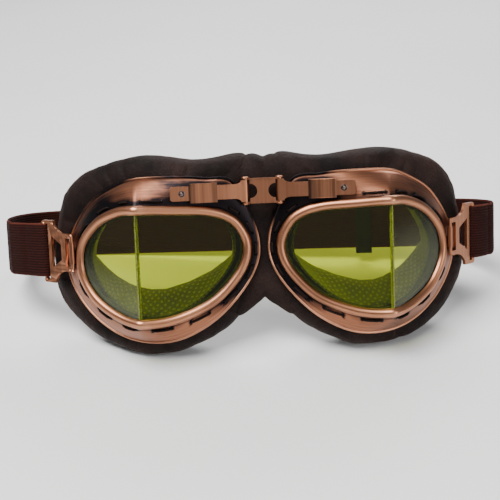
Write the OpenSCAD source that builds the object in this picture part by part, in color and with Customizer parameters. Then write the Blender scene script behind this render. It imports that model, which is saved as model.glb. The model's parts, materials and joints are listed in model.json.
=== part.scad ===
// Vintage motorcycle goggles that stand on their pads and lean back.
// The shapes are drawn upright, as worn: x across the face, y back towards
// the face, z up, with y = 0 at the folds of the lenses. stand() then leans
// them back and sets them on the floor.

/* [Stance] */
// Angle that the goggles lean back at
lean = 21.5; // [21:0.1:22]
// Height of the lens centres above the floor, before the lean
rise = 50.9; // [50.5:0.1:51.5]
// Distance from the middle of the strap loop to the lens folds
set_back = 53.9; // [50:0.1:60]
// Sideways distance from the middle of the strap loop to the nose
side_shift = 4.2; // [0:0.1:6]

/* [Lenses] */
// Distance from the nose to the fold of each lens
fold_x = 60; // [59:0.5:61]
// Angle that the front pane turns back towards the nose
front_yaw = 10; // [8:0.5:11]
// Angle that the side pane turns back towards the temple
side_yaw = 35; // [33:0.5:37]
// Thickness of a pane
pane_t = 2; // [1.8:0.1:2]
// Width of the rim that holds the panes
rim_w = 4.6; // [4.2:0.1:4.8]
// Height of the rim's crown above the panes
rim_h = 2.1; // [1.6:0.1:2.2]

/* [Eyecup] */
// Thickness of the pressed metal
metal_t = 0.8; // [0.7:0.05:0.9]
// Depth of the eyecup's lip behind the folds, near the nose
lip_depth = 8; // [7.8:0.1:8.2]
// Extra depth of the lip at the temple
lip_wrap = 22; // [21:0.5:23]
// Extra depth of the lip beside the nose
lip_tuck = 2.6; // [2.5:0.1:2.7]

/* [Bridge] */
// Height of the bridge above the lens centres
bridge_z = 33.4; // [33:0.1:33.8]
// Angle of the bridge bars
bar_yaw = 6; // [5:0.5:7]
// Thickness of a bridge bar
bar_t = 1.2; // [1:0.1:1.3]
// Height of a bridge bar
bar_h = 6.8; // [6.4:0.1:7]
// Distance from the nose to each hinge pin
pin_x = 8; // [7.9:0.1:8.2]
// Radius of a hinge pin
pin_r = 0.8; // [0.7:0.05:0.85]
// Clearance of the running fits
fit_gap = 0.08; // [0.05:0.01:0.1]

/* [Buckle and strap] */
// Angle that the buckles turn back
buckle_yaw = 45; // [40:1:48]
// Thickness of a buckle
buckle_t = 1.5; // [1.3:0.1:1.6]
// Height of the buckles above the lens centres
buckle_z = 6; // [5.9:0.1:6.1]
// Width of the elastic strap
strap_w = 27; // [26:0.5:27]
// Thickness of the elastic strap
strap_t = 1.6; // [1.4:0.1:1.8]
// Height of the middle of the strap
strap_z = 6.5; // [6.4:0.1:6.6]

/* [Pads] */
// How far a pad stands out past the eyecup's lip
pad_out = 8.5; // [7:0.5:9]
// How far a pad reaches in from the lip
pad_in = 11; // [10:0.5:12]
// Depth of a pad behind the lip
pad_depth = 26; // [24:0.5:27]
// Half of the gap between the two pads at the nose
pad_gap = 5.5; // [5.3:0.1:6]

/* [Hidden] */
$fn = 48;
copper = [0.72, 0.45, 0.33];
leather = [0.2, 0.15, 0.14];
elastic = [0.3, 0.14, 0.11];
tint = [0.75, 0.8, 0.2, 0.6];
// Points of each smooth outline between two of its control points
steps = 6;
// The rim's outline on the unfolded panes: distance towards the nose, then height
rim_points = [[0, 29], [19, 28.1], [33, 27.2], [43, 24.4], [50, 19.3], [54.8, 10], [54, 0], [48, -10],
    [36, -20.7], [18, -27.8], [0, -29], [-15, -25.4], [-29, -16.7], [-37, -3], [-35, 11.5],
    [-24, 22.7], [-11, 28]];
// The lip of the eyecup beside each of those points: distance from the nose, then height
lip_points = [[60, 40.7], [41, 41], [27, 40], [14.2, 38], [5.8, 21], [2.6, 9.8], [3.6, -1.2], [11, -13.9],
    [25, -27.8], [42, -36.3], [59.5, -37.3], [75, -32], [88, -20.5], [95.6, -5], [94.5, 11],
    [84, 28.5], [71.5, 37]];
// How far the edge of a pane sits inside the rim's outline
pane_inset = 1.6;
// Where the lip starts to curve back, and over what distance
wrap_from = 38;
wrap_over = 58;
// Where it curves back towards the nose, and over what distance
tuck_from = 16;
tuck_over = 14;
// Hinge pins
pin_y = 6.9;
knuckle_r = 1.5;
knuckle_h = 10.2;
ear_t = 0.7;
head_r = 1.9;
head_t = 0.9;
link_w = 12;
bite_r = 3.4;
// Sleeves and rivets, measured along the bar from the hinge pin
sleeve_from = 13.6;
sleeve_to = 26.6;
sleeve_h = 9;
sleeve_wall = 0.9;
bar_end = 35.6;
rivet_at = 30.2;
rivet_r = 1.3;
// Buckle pivot
barrel_x = 92.5;
barrel_y = 20;
barrel_r = 1.4;
barrel_h = 10.2;
hook_r = 0.85;
hook_in = 3;
arm_z = 8;
// Buckle outline, measured from its pivot
bar_in = 4.2;
window_in = 7.6;
window_in_h = 7.6;
window_out = 15.4;
window_out_h = 15.8;
slot_in = 17.8;
slot_out = 20.4;
buckle_end = 22.8;
buckle_h = 31;
strap_bar_at = (slot_out + buckle_end) / 2;
strap_bar_r = (buckle_end - slot_out) / 2;
// Strap route, seen from above, from the left buckle round to the right one
left_loop = [[-109.8, 36.8], [-119, 42], [-126.5, 49]];
left_side = [[-126.7, 49.3], [-130.5, 58], [-133, 70], [-134, 83], [-132.5, 97], [-128, 108],
    [-119, 115.5], [-106, 119]];
back_run = [[-105.7, 119.1], [-88, 119], [-70, 117], [0, 107.2], [70, 97.4], [90, 94.6], [103.8, 91.2]];
right_side = [[104, 91], [115, 85], [122, 76], [125.5, 65], [124.5, 54], [120.5, 45.5]];
right_loop = [[120.2, 45.2], [115.5, 40.5], [109.8, 36.8]];
slider_x = 63;
slider_h = 33;
slider_l = 9;
// Middle of the opening in a pad: distance from the nose, then height
pad_centre = [50, 2];
// How much further a pad stands out at its corner above the nose, and where that corner is
shoulder = 6.5;
shoulder_at = 135;
// How much further a pad reaches in along its bottom
pad_reach = 10.5;
// Slack of the soft parts against their neighbours
slack = 0.3;
// Stitches: distance from the rim's edge, radius, and how far their middles stand off the skirt
stitch_in = 2.2;
stitch_r = 0.5;
stitch_off = 0.8;
// Size of the blocks that trim a pane at its mitred edge
trim = 80;

// Smooth curves through control points
function spline(a, b, c, d, t) =
    0.5 * (2 * b + (c - a) * t + (2 * a - 5 * b + 4 * c - d) * t ^ 2 + (3 * b - 3 * c + d - a) * t ^ 3);
function smooth_loop(p) =
    let (n = len(p))
    [for (i = [0:n - 1], j = [0:steps - 1])
        spline(p[(i + n - 1) % n], p[i], p[(i + 1) % n], p[(i + 2) % n], j / steps)];
function smooth_run(p) =
    let (n = len(p))
    concat([for (i = [0:n - 2], j = [0:steps - 1])
        spline(p[max(i - 1, 0)], p[i], p[i + 1], p[min(i + 2, n - 1)], j / steps)], [p[n - 1]]);
function unit(v) = v / norm(v);
// Outward normals of a closed outline: turn is 1 where it runs clockwise, -1 where it doesn't
function normals(p, turn) =
    let (n = len(p))
    [for (i = [0:n - 1]) let (d = p[(i + 1) % n] - p[(i + n - 1) % n]) turn * unit([-d[1], d[0]])];

// A point on the panes: distance u from the fold, height z, and f in front of the glass
function ahead(u) =
    let (a = [-sin(front_yaw), -cos(front_yaw)], b = [sin(side_yaw), -cos(side_yaw)])
    u > 0.01 ? a : u < -0.01 ? b : (a + b) / (1 + a * b);
function pane_point(u, z, f) =
    let (along = u > 0 ? [-cos(front_yaw), sin(front_yaw)] : [-cos(side_yaw), -sin(side_yaw)],
        q = [fold_x, 0] + u * along + f * ahead(u))
    [q[0], q[1], z];
rim_line = smooth_loop(rim_points);
function lip_y(x) =
    lip_depth + lip_wrap * (max(0, x - wrap_from) / wrap_over) ^ 1.8
    + lip_tuck * max(0, tuck_from - x) / tuck_over;
lip_line = smooth_loop(lip_points);
lip_normals = normals(lip_line, -1);
count = len(rim_line);
// Outward normals of the rim's outline, level with the fold where the outline crosses it
rim_turned = normals(rim_line, 1);
rim_normals = [for (i = [0:count - 1])
    abs(rim_line[i][0]) < 0.01 ? [0, sign(rim_line[i][1])] : rim_turned[i]];
function inset_line(inset) = [for (i = [0:count - 1]) rim_line[i] - inset * rim_normals[i]];
function rim_at(i, inset, f) =
    let (q = rim_line[i] - inset * rim_normals[i])
    pane_point(q[0], q[1], f);
function lip_at(i, out, back) =
    let (q = lip_line[i] + out * lip_normals[i])
    [q[0], lip_y(lip_line[i][0]) + back, q[1]];
// A point on the skirt, part of the way from the rim to the lip, with a slight crown
function skirt_at(i, part, back) =
    let (a = rim_at(i, 0.2, -0.5), b = lip_at(i, 0, 0), crown = 0.24 * part * (1 - part))
    a + (b - a) * part + [0, back - crown * norm(b - a), 0];

// A solid whose sections run round a closed loop
module ring_solid(sections) {
    n = len(sections);
    m = len(sections[0]);
    polyhedron(
        points = [for (s = sections) each s],
        faces = [for (i = [0:n - 1], j = [0:m - 1]) each [
            [i * m + j, i * m + (j + 1) % m, ((i + 1) % n) * m + (j + 1) % m],
            [i * m + j, ((i + 1) % n) * m + (j + 1) % m, ((i + 1) % n) * m + j]]]);
}
// A flat band of the given thickness that follows a route seen from above
module band(route, thickness, width) {
    line = smooth_run(route);
    n = len(line);
    side = [for (i = [0:n - 1]) let (d = unit(line[min(i + 1, n - 1)] - line[max(i - 1, 0)])) [-d[1], d[0]]];
    translate([0, 0, strap_z - width / 2])
        linear_extrude(width)
            polygon(concat([for (i = [0:n - 1]) line[i] + side[i] * thickness / 2],
                [for (i = [n - 1:-1:0]) line[i] - side[i] * thickness / 2]));
}
module stand() {
    translate([side_shift, -set_back, rise])
        rotate([-lean, 0, 0])
            children();
}
module left() {
    mirror([1, 0, 0])
        children();
}

module rim_shape() {
    ring_solid([for (i = [0:count - 1]) [for (q = [[0, -0.4], [0, 0.6], [0.7, 1.6], [2, rim_h], [3.4, 1.8],
        [rim_w - 0.2, 0.8], [rim_w, 0.1], [1.3, 0.1], [1.3, -0.4]]) rim_at(i, q[0], q[1])]]);
}
module gasket_shape() {
    ring_solid([for (i = [0:count - 1]) [for (q = [[1.6, -pane_t - 1.2], [1.6, -pane_t - 0.1],
        [rim_w + 0.5, -pane_t - 0.1], [rim_w + 0.5, -pane_t - 1.2]]) rim_at(i, q[0], q[1])]]);
}
module eyecup_shape() {
    seat = -pane_t - 1.3;
    ring_solid([for (i = [0:count - 1]) concat(
        [rim_at(i, 4.2, seat), rim_at(i, 1.4, seat), rim_at(i, 1.4, -0.5), rim_at(i, 0.2, -0.5)],
        [for (t = [0.25, 0.5, 0.75]) skirt_at(i, t, 0)],
        [lip_at(i, 0, 0), lip_at(i, 0.5, -0.3), lip_at(i, 0.9, 0.2), lip_at(i, 0.5, metal_t)],
        [for (t = [0.75, 0.5, 0.25]) skirt_at(i, t, metal_t + 0.1)],
        [rim_at(i, 0.4, -1.5), rim_at(i, 0.5, seat - metal_t), rim_at(i, 4.2, seat - metal_t)])]);
}
// The two panes, cut along the mitre that splits the angle between them
mitre = (front_yaw + side_yaw) / 2;
module front_pane_shape() {
    outline = [for (q = inset_line(pane_inset)) if (q[0] >= 0) q];
    translate([fold_x, 0, 0])
        rotate([0, 0, 180 - front_yaw])
            difference() {
                rotate([90, 0, 0])
                    linear_extrude(pane_t)
                        polygon(outline);
                rotate([0, 0, mitre])
                    translate([-trim + 0.04, -trim / 2, -trim / 2])
                        cube(trim);
            }
}
module side_pane_shape() {
    outline = [for (q = inset_line(pane_inset)) if (q[0] <= 0) [-q[0], q[1]]];
    translate([fold_x, 0, 0])
        rotate([0, 0, side_yaw])
            difference() {
                rotate([90, 0, 0])
                    translate([0, 0, -pane_t])
                        linear_extrude(pane_t)
                            polygon(outline);
                rotate([0, 0, -mitre])
                    translate([-trim + 0.04, -trim / 2, -trim / 2])
                        cube(trim);
            }
}
// A rod between two points
module rod(p, q, r) {
    d = q - p;
    translate(p)
        rotate([0, acos(d[2] / norm(d)), atan2(d[1], d[0])])
            cylinder(h = norm(d), r = r, $fn = 16);
}
// Running stitch between the rim and the lip, left out where the bridge bar covers the skirt
function stitch_at(i) = skirt_at(i, stitch_in / norm(lip_at(i, 0, 0) - rim_at(i, 0.2, -0.5)), -stitch_off);
module stitching_shape() {
    for (k = [0, each [3:len(rim_points) - 1]])
        rod(stitch_at((k * steps + 1) % count), stitch_at((k * steps + 4) % count), stitch_r);
}
// Bridge parts, drawn along +x from the hinge pin
module at_bar() {
    translate([pin_x, pin_y, bridge_z])
        rotate([0, 0, -bar_yaw])
            children();
}
bar_front = -knuckle_r;
module bar_outline() {
    polygon(concat([[0, -knuckle_h / 2], [2.2, -knuckle_h / 2]],
        [for (a = [0:15:90]) [5.4 - 3.2 * cos(a), -bar_h / 2 - (knuckle_h - bar_h) / 2 * (1 - sin(a))]],
        [for (a = [0:15:90]) [bar_end - 1.2 + 1.2 * sin(a), -bar_h / 2 + 1.2 - 1.2 * cos(a)]],
        [for (a = [0:15:90]) [bar_end - 1.2 + 1.2 * cos(a), bar_h / 2 - 1.2 + 1.2 * sin(a)]],
        [for (a = [90:-15:0]) [5.4 - 3.2 * cos(a), bar_h / 2 + (knuckle_h - bar_h) / 2 * (1 - sin(a))]],
        [[2.2, knuckle_h / 2], [0, knuckle_h / 2]]));
}
module bridge_bar_shape() {
    at_bar()
        difference() {
            union() {
                translate([0, bar_front + bar_t, 0])
                    rotate([90, 0, 0])
                        linear_extrude(bar_t)
                            bar_outline();
                cylinder(h = knuckle_h, r = knuckle_r, center = true);
            }
            cylinder(h = knuckle_h + 2, r = pin_r + fit_gap, center = true);
            translate([rivet_at, 0, 0])
                rotate([90, 0, 0])
                    cylinder(h = 8, r = 0.7, center = true);
        }
}
module bar_rivet_shape() {
    at_bar()
        translate([rivet_at, bar_front, 0])
            rotate([90, 0, 0]) {
                translate([0, 0, -bar_t - 0.5])
                    cylinder(h = bar_t + 1, r = 0.68);
                rotate_extrude()
                    polygon(concat([[0, 0]], [for (a = [0:15:90]) [rivet_r * cos(a), 0.9 * sin(a)]]));
                translate([0, 0, -bar_t - 0.5])
                    cylinder(h = 0.5, r = 1.1);
            }
}
module sleeve_shape() {
    inner_t = bar_t + 0.16;
    inner_h = bar_h + 0.2;
    at_bar()
        translate([sleeve_from, bar_front + bar_t / 2, 0]) {
            difference() {
                translate([0, -inner_t / 2 - sleeve_wall, -sleeve_h / 2])
                    cube([sleeve_to - sleeve_from, inner_t + 2 * sleeve_wall, sleeve_h]);
                translate([-1, -inner_t / 2, -inner_h / 2])
                    cube([sleeve_to - sleeve_from + 2, inner_t, inner_h]);
            }
            translate([3, inner_t / 2 + sleeve_wall, -2])
                cube([sleeve_to - sleeve_from - 6, 2, 4]);
        }
}
module hinge_pin_shape() {
    half = knuckle_h / 2 + 0.1 + ear_t;
    translate([pin_x, pin_y, bridge_z]) {
        cylinder(h = 2 * half, r = pin_r, center = true);
        for (s = [-1, 1])
            translate([0, 0, s * (half + head_t / 2)])
                cylinder(h = head_t, r = head_r, center = true);
    }
}
// The link: a front plate with a round bite in each side, and ears above and below the knuckles
module centre_link_shape() {
    half = knuckle_h / 2 + 0.1;
    translate([0, pin_y, bridge_z]) {
        translate([0, -knuckle_r, 0])
            rotate([90, 0, 0])
                linear_extrude(0.9)
                    difference() {
                        square([link_w, 2 * (half + ear_t)], center = true);
                        for (s = [-1, 1])
                            translate([s * link_w / 2, 0])
                                circle(r = bite_r);
                    }
        for (s = [-1, 1])
            difference() {
                translate([0, 0, s * (half + ear_t / 2)]) {
                    translate([0, -knuckle_r / 2, 0])
                        cube([link_w, knuckle_r + 2.4, ear_t], center = true);
                    cube([2 * pin_x, 2.4, ear_t], center = true);
                    for (e = [-1, 1])
                        translate([e * pin_x, 0, 0])
                            cylinder(h = ear_t, r = 1.5, center = true);
                }
                for (e = [-1, 1])
                    translate([e * pin_x, 0, 0])
                        cylinder(h = 40, r = pin_r + 0.02, center = true);
            }
    }
}
module barrel_shape() {
    translate([barrel_x, barrel_y, buckle_z]) {
        difference() {
            cylinder(h = barrel_h, r = barrel_r, center = true);
            cylinder(h = barrel_h + 2, r = hook_r + fit_gap, center = true);
        }
        rotate([0, 0, 62])
            translate([barrel_r - 0.2, -0.4, -barrel_h / 2])
                cube([2.6, 0.8, barrel_h]);
    }
}
// Buckle outline: u runs out from the pivot, and the profile is the same above and below its middle
module buckle_outline() {
    half = buckle_h / 2;
    top = concat([[1.6, arm_z + 1.4], [4, arm_z + 1.1]],
        [for (a = [0:15:90]) [4 + 9.5 * sin(a), arm_z + 1.1 + (half - arm_z - 1.1) * (1 - cos(a))]],
        [[buckle_end - 1, half], [buckle_end, half - 1]]);
    polygon(concat([[1.6, -arm_z + 1], [1.6, -arm_z - 1.4], [4, -arm_z - 1.1]],
        [for (p = [for (i = [2:len(top) - 1]) top[i]]) [p[0], -p[1]]],
        [for (i = [len(top) - 1:-1:0]) top[i]],
        [[1.6, arm_z - 1], [bar_in, arm_z - 1], [bar_in, -arm_z + 1]]));
}
module buckle_shape() {
    half = buckle_h / 2;
    translate([barrel_x, barrel_y, buckle_z]) {
        rotate([0, 0, buckle_yaw]) {
            translate([0, buckle_t / 2, 0])
                rotate([90, 0, 0])
                    linear_extrude(buckle_t)
                        difference() {
                            buckle_outline();
                            polygon([[window_in, window_in_h / 2], [window_out, window_out_h / 2],
                                [window_out, -window_out_h / 2], [window_in, -window_in_h / 2]]);
                            translate([slot_in, -half + 1.7])
                                square([buckle_end, 2 * half - 3.4]);
                        }
            translate([strap_bar_at, 0, 0])
                cylinder(h = 2 * half - 2, r = strap_bar_r, center = true);
            for (s = [-1, 1])
                translate([0, -0.8, s * arm_z - 1])
                    cube([1.8, 1.6, 2]);
        }
        for (s = [-1, 1])
            translate([0, 0, s * (barrel_h / 2 - hook_in + (arm_z + 1 - barrel_h / 2 + hook_in) / 2)])
                cylinder(h = arm_z + 1 - barrel_h / 2 + hook_in, r = hook_r, center = true);
    }
}

// Pads: rings of soft leather behind the lips, cut off level where they meet the floor
function floor_z(y) = (y * sin(lean) - rise) / cos(lean);
function soft_at(i, out, back) =
    let (away = unit(lip_line[i] - pad_centre),
        corner = max(0, away * [cos(shoulder_at), sin(shoulder_at)]) ^ 40,
        low = max(0, lip_line[i][1] / lip_points[10][1]) ^ 0.7 * min(1, max(0, (back - 5) / 15)),
        extra = out > 0 ? shoulder * corner * out / pad_out : pad_reach * low * out / pad_in,
        q = lip_line[i] + (out + extra) * away, lip = lip_y(lip_line[i][0]),
        seat = rim_at(i, 4.2, -pane_t - 1.3 - metal_t)[1] + 0.5,
        clear = max(0, seat - lip - 2),
        y = lip + back + clear * (1 - back / pad_depth))
    [max(q[0], pad_gap), y, max(q[1], floor_z(y))];
pad_steps = 2;
module soft_ring(profile) {
    ring_solid([for (i = [0:pad_steps:count - 1]) [for (q = profile) soft_at(i, q[0], q[1])]]);
}
module pad_shape() {
    soft_ring([[-8, 3.2], [-2, 2.2], [3, 2.4], [pad_out - 2, 5], [pad_out, 10], [pad_out, 16],
        [pad_out - 3, 22], [0, pad_depth], [-6, pad_depth], [-pad_in, 20], [-pad_in, 9]]);
}
module lining_shape() {
    inner = pad_in + 0.7;
    soft_ring([[-inner, 9], [-inner, 20], [-inner - 1.2, 20], [-inner - 1.2, 9]]);
}
module nose_pad() {
    color(leather)
        stand()
            translate([-pad_gap + slack, 0, 0])
                rotate([90, 0, 90])
                    linear_extrude(2 * (pad_gap - slack))
                        polygon([[12.4, -14], [12, 0], [12, 25], [12, 42], [14, 46.5],
                            [19, 48.8], [26, 48], [32, 44], [34, 34], [31, 4], [27, -12], [21, -17],
                            [15, -17.5]]);
}

module centre_link() {
    color(copper)
        stand()
            centre_link_shape();
}
module right_hinge_pin() {
    color(copper)
        stand()
            hinge_pin_shape();
}
module left_hinge_pin() {
    color(copper)
        stand()
            left()
                hinge_pin_shape();
}
module right_bridge_bar() {
    color(copper)
        stand()
            bridge_bar_shape();
}
module left_bridge_bar() {
    color(copper)
        stand()
            left()
                bridge_bar_shape();
}
module right_bar_rivet() {
    color([0.3, 0.25, 0.25])
        stand()
            bar_rivet_shape();
}
module left_bar_rivet() {
    color([0.3, 0.25, 0.25])
        stand()
            left()
                bar_rivet_shape();
}
module right_sleeve() {
    color(copper)
        stand()
            sleeve_shape();
}
module left_sleeve() {
    color(copper)
        stand()
            left()
                sleeve_shape();
}
module right_eyecup() {
    color(copper)
        stand()
            eyecup_shape();
}
module left_eyecup() {
    color(copper)
        stand()
            left()
                eyecup_shape();
}
module right_lens_rim() {
    color(copper)
        stand()
            rim_shape();
}
module left_lens_rim() {
    color(copper)
        stand()
            left()
                rim_shape();
}
module right_front_pane() {
    color(tint)
        stand()
            front_pane_shape();
}
module left_front_pane() {
    color(tint)
        stand()
            left()
                front_pane_shape();
}
module right_side_pane() {
    color(tint)
        stand()
            side_pane_shape();
}
module left_side_pane() {
    color(tint)
        stand()
            left()
                side_pane_shape();
}
module right_gasket() {
    color("black")
        stand()
            gasket_shape();
}
module left_gasket() {
    color("black")
        stand()
            left()
                gasket_shape();
}
module right_barrel() {
    color(copper)
        stand()
            barrel_shape();
}
module left_barrel() {
    color(copper)
        stand()
            left()
                barrel_shape();
}
module right_stitching() {
    color([0.15, 0.1, 0.09])
        stand()
            stitching_shape();
}
module left_stitching() {
    color([0.15, 0.1, 0.09])
        stand()
            left()
                stitching_shape();
}
module right_buckle() {
    color(copper)
        stand()
            buckle_shape();
}
module left_buckle() {
    color(copper)
        stand()
            left()
                buckle_shape();
}
module right_pad() {
    color(leather)
        stand()
            pad_shape();
}
module left_pad() {
    color(leather)
        stand()
            left()
                pad_shape();
}
module right_lining() {
    color([0.25, 0.25, 0.2])
        stand()
            lining_shape();
}
module left_lining() {
    color([0.25, 0.25, 0.2])
        stand()
            left()
                lining_shape();
}
module left_strap_loop() {
    color(elastic)
        stand()
            band(left_loop, 2 * strap_t, strap_w - 0.6);
}
module right_strap_loop() {
    color(elastic)
        stand()
            band(right_loop, 2 * strap_t, strap_w - 0.6);
}
module left_strap_side() {
    color(elastic)
        stand()
            band(left_side, strap_t, strap_w);
}
module right_strap_side() {
    color(elastic)
        stand()
            band(right_side, strap_t, strap_w);
}
module strap_back() {
    color(elastic)
        stand()
            band(back_run, 2 * strap_t, strap_w);
}
module strap_slider() {
    at_back = back_run[3];
    run = back_run[4] - back_run[3];
    color("dimgray")
        stand()
            translate([slider_x, at_back[1] + slider_x * run[1] / run[0], strap_z])
                rotate([0, 0, atan2(run[1], run[0])])
                    difference() {
                        cube([slider_l, 2 * strap_t + 3, slider_h], center = true);
                        cube([slider_l + 2, 2 * strap_t + 2 * slack, strap_w + 2 * slack], center = true);
                    }
}

centre_link();
left_hinge_pin();
right_hinge_pin();
left_bridge_bar();
right_bridge_bar();
left_bar_rivet();
right_bar_rivet();
left_sleeve();
right_sleeve();
left_eyecup();
right_eyecup();
left_lens_rim();
right_lens_rim();
left_front_pane();
right_front_pane();
left_side_pane();
right_side_pane();
left_gasket();
right_gasket();
left_barrel();
right_barrel();
left_stitching();
right_stitching();
left_buckle();
right_buckle();
left_pad();
right_pad();
nose_pad();
left_lining();
right_lining();
left_strap_loop();
right_strap_loop();
left_strap_side();
right_strap_side();
strap_back();
strap_slider();
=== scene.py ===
"""Looks of the vintage motorcycle goggles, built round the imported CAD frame.

Most shapes are worked out in "worn" millimetres: x across the face, y back
towards it, z up, with y = 0 at the folds of the lenses and x = 0 at the nose.
stand() leans them back and puts them where the frame's hinge pins are.
"""
import json
import math

import bmesh
import bpy
import numpy as np
from mathutils import Matrix, Vector
from mathutils.bvhtree import BVHTree
from mathutils.noise import noise


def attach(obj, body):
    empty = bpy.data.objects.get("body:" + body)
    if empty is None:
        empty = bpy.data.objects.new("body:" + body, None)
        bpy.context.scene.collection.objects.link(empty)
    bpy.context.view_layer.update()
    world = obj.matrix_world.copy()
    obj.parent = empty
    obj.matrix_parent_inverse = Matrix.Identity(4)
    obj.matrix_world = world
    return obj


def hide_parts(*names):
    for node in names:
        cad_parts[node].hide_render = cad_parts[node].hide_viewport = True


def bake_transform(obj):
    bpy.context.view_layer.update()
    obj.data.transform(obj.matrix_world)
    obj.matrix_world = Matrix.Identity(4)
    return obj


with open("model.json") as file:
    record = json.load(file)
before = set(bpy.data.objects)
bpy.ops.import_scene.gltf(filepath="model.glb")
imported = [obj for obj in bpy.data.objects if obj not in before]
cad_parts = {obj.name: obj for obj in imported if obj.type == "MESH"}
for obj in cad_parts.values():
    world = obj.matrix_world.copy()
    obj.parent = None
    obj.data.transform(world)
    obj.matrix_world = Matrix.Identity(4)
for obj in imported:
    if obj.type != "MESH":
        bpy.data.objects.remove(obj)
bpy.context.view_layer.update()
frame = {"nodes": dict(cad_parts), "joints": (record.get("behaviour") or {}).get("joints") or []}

# ---- dimensions
LEAN = math.radians(21.5)
PIN = np.array([8.0, 6.9, 33.4])
FOLD_X = 60.0
FRONT_YAW = math.radians(10)
SIDE_YAW = math.radians(35)
PANE_T = 2.0
RIM_W = 4.6
RIM_H = 2.1
METAL_T = 0.8
LIP_DEPTH = 8.0
LIP_WRAP = 22.0
WRAP_FROM = 38.0
WRAP_OVER = 58.0
LIP_TUCK = 2.6
TUCK_FROM = 16.0
TUCK_OVER = 14.0
BAR_YAW = math.radians(6)
BUCKLE_YAW = math.radians(45)
BARREL = np.array([92.5, 20.0, 6.0])
STRAP_BAR_AT = 21.6
STRAP_BAR_R = 1.2
STRAP_W = 27.0
STRAP_Z = 6.5
STRAP_T = 1.6
PAD_OUT = 8.5
PAD_IN = 11.0
PAD_DEPTH = 26.0
PAD_GAP = 5.5
PAD_CENTRE = np.array([50.0, 2.0])
# Bulges of a pad's leather: how much further it reaches, where round the pad, and how narrow (a power)
SHOULDER, SHOULDER_AT, SHOULDER_POWER = 6.8, math.radians(135), 40
BROW, BROW_AT, BROW_POWER = 4.2, math.radians(44), 12
CREST, CREST_POWER = 1.6, 6
TEMPLE = 2.2
# How far back the bulges begin, and half the height of the band kept clear for the strap
BULGE_FROM = 5
STRAP_BAND = 16
# How much further the pad reaches in below the eye
PAD_REACH = 10.5
# The eyecup's seat: in from the rim's outline, and in front of the glass
SEAT_IN = 4.2
SEAT = -PANE_T - 1.3
STEPS = 12
# Rim outline on the unfolded panes: distance towards the nose, then height
RIM_POINTS = [(0, 29), (19, 28.1), (33, 27.2), (43, 24.4), (50, 19.3), (54.8, 10), (54, 0), (48, -10),
    (36, -20.7), (18, -27.8), (0, -29), (-15, -25.4), (-29, -16.7), (-37, -3), (-35, 11.5),
    (-24, 22.7), (-11, 28)]
# Lip of the eyecup beside each of those points: distance from the nose, then height
LIP_POINTS = [(60, 40.7), (41, 41), (27, 40), (14.2, 38), (5.8, 21), (2.6, 9.8), (3.6, -1.2),
    (11, -13.9), (25, -27.8), (42, -36.3), (59.5, -37.3), (75, -32), (88, -20.5), (95.6, -5),
    (94.5, 11), (84, 28.5), (71.5, 37)]
# Strap routes seen from above, from the left buckle round to the right one
LEFT_LOOP = [(-109.8, 36.8), (-119, 42), (-126.5, 49)]
LEFT_SIDE = [(-126.7, 49.3), (-130.5, 58), (-133, 70), (-134, 83), (-132.5, 97), (-128, 108),
    (-119, 115.5), (-106, 119)]
BACK_RUN = [(-105.7, 119.1), (-88, 119), (-70, 117), (0, 107.2), (70, 97.4), (90, 94.6), (103.8, 91.2)]
RIGHT_SIDE = [(104, 91), (115, 85), (122, 76), (125.5, 65), (124.5, 54), (120.5, 45.5)]
RIGHT_LOOP = [(120.2, 45.2), (115.5, 40.5), (109.8, 36.8)]
SIDES = (("left", -1), ("right", 1))


# ---- geometry in worn millimetres
def leaned(points, angle=LEAN):
    """Points turned about the x axis, by default from worn to row directions."""
    p = np.asarray(points, float)
    y = p[..., 1] * math.cos(angle) + p[..., 2] * math.sin(angle)
    z = -p[..., 1] * math.sin(angle) + p[..., 2] * math.cos(angle)
    return np.stack([p[..., 0], y, z], axis=-1)


pins = [1000 * np.array(j["pos_m"]) for j in frame["joints"] if j["name"].endswith("_fold")]
OFFSET = sum(pins) / 2 - leaned(PIN * (0, 1, 1))


def stand(points, side=1):
    """Worn millimetres to row metres; side -1 mirrors them to the left."""
    return (leaned(np.asarray(points, float) * (side, 1, 1)) + OFFSET) / 1000


def worn(points, side=1):
    """Row metres back to worn millimetres."""
    return leaned(np.asarray(points, float) * 1000 - OFFSET, -LEAN) * (side, 1, 1)


def spline(a, b, c, d, t):
    return 0.5 * (2 * b + (c - a) * t + (2 * a - 5 * b + 4 * c - d) * t ** 2
                  + (3 * b - 3 * c + d - a) * t ** 3)


def smoothed(points, steps=STEPS, closed=False):
    """A smooth line through the points, in steps from each to the next."""
    p = np.array(points, float)
    p = np.vstack([p[-1:], p, p[:2]] if closed else [p[:1], p, p[-1:]])
    line = [spline(*p[i:i + 4], j / steps) for i in range(len(p) - 3) for j in range(steps)]
    return np.array(line if closed else line + [p[-1]])


def lengths(line):
    """How far along a line each of its points lies."""
    return np.concatenate([[0], np.cumsum(np.linalg.norm(np.diff(line, axis=0), axis=1))])


def unit(v):
    return v / np.linalg.norm(v, axis=-1, keepdims=True)


def normals(line, turn):
    """Outward normals of a closed outline; turn is 1 where it runs clockwise, -1 where it doesn't."""
    d = np.roll(line, -1, axis=0) - np.roll(line, 1, axis=0)
    return turn * unit(np.stack([-d[:, 1], d[:, 0]], axis=1))


rim_line = smoothed(RIM_POINTS, closed=True)
lip_line = smoothed(LIP_POINTS, closed=True)
COUNT = len(rim_line)
rim_normals = normals(rim_line, 1)
for at_fold in (0, 10 * STEPS):
    rim_normals[at_fold] = (0, math.copysign(1, rim_line[at_fold][1]))
lip_normals = normals(lip_line, -1)


def lip_depth_at(x):
    wrap = LIP_WRAP * (np.maximum(0, x - WRAP_FROM) / WRAP_OVER) ** 1.8
    return LIP_DEPTH + wrap + LIP_TUCK * np.maximum(0, TUCK_FROM - x) / TUCK_OVER


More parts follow.
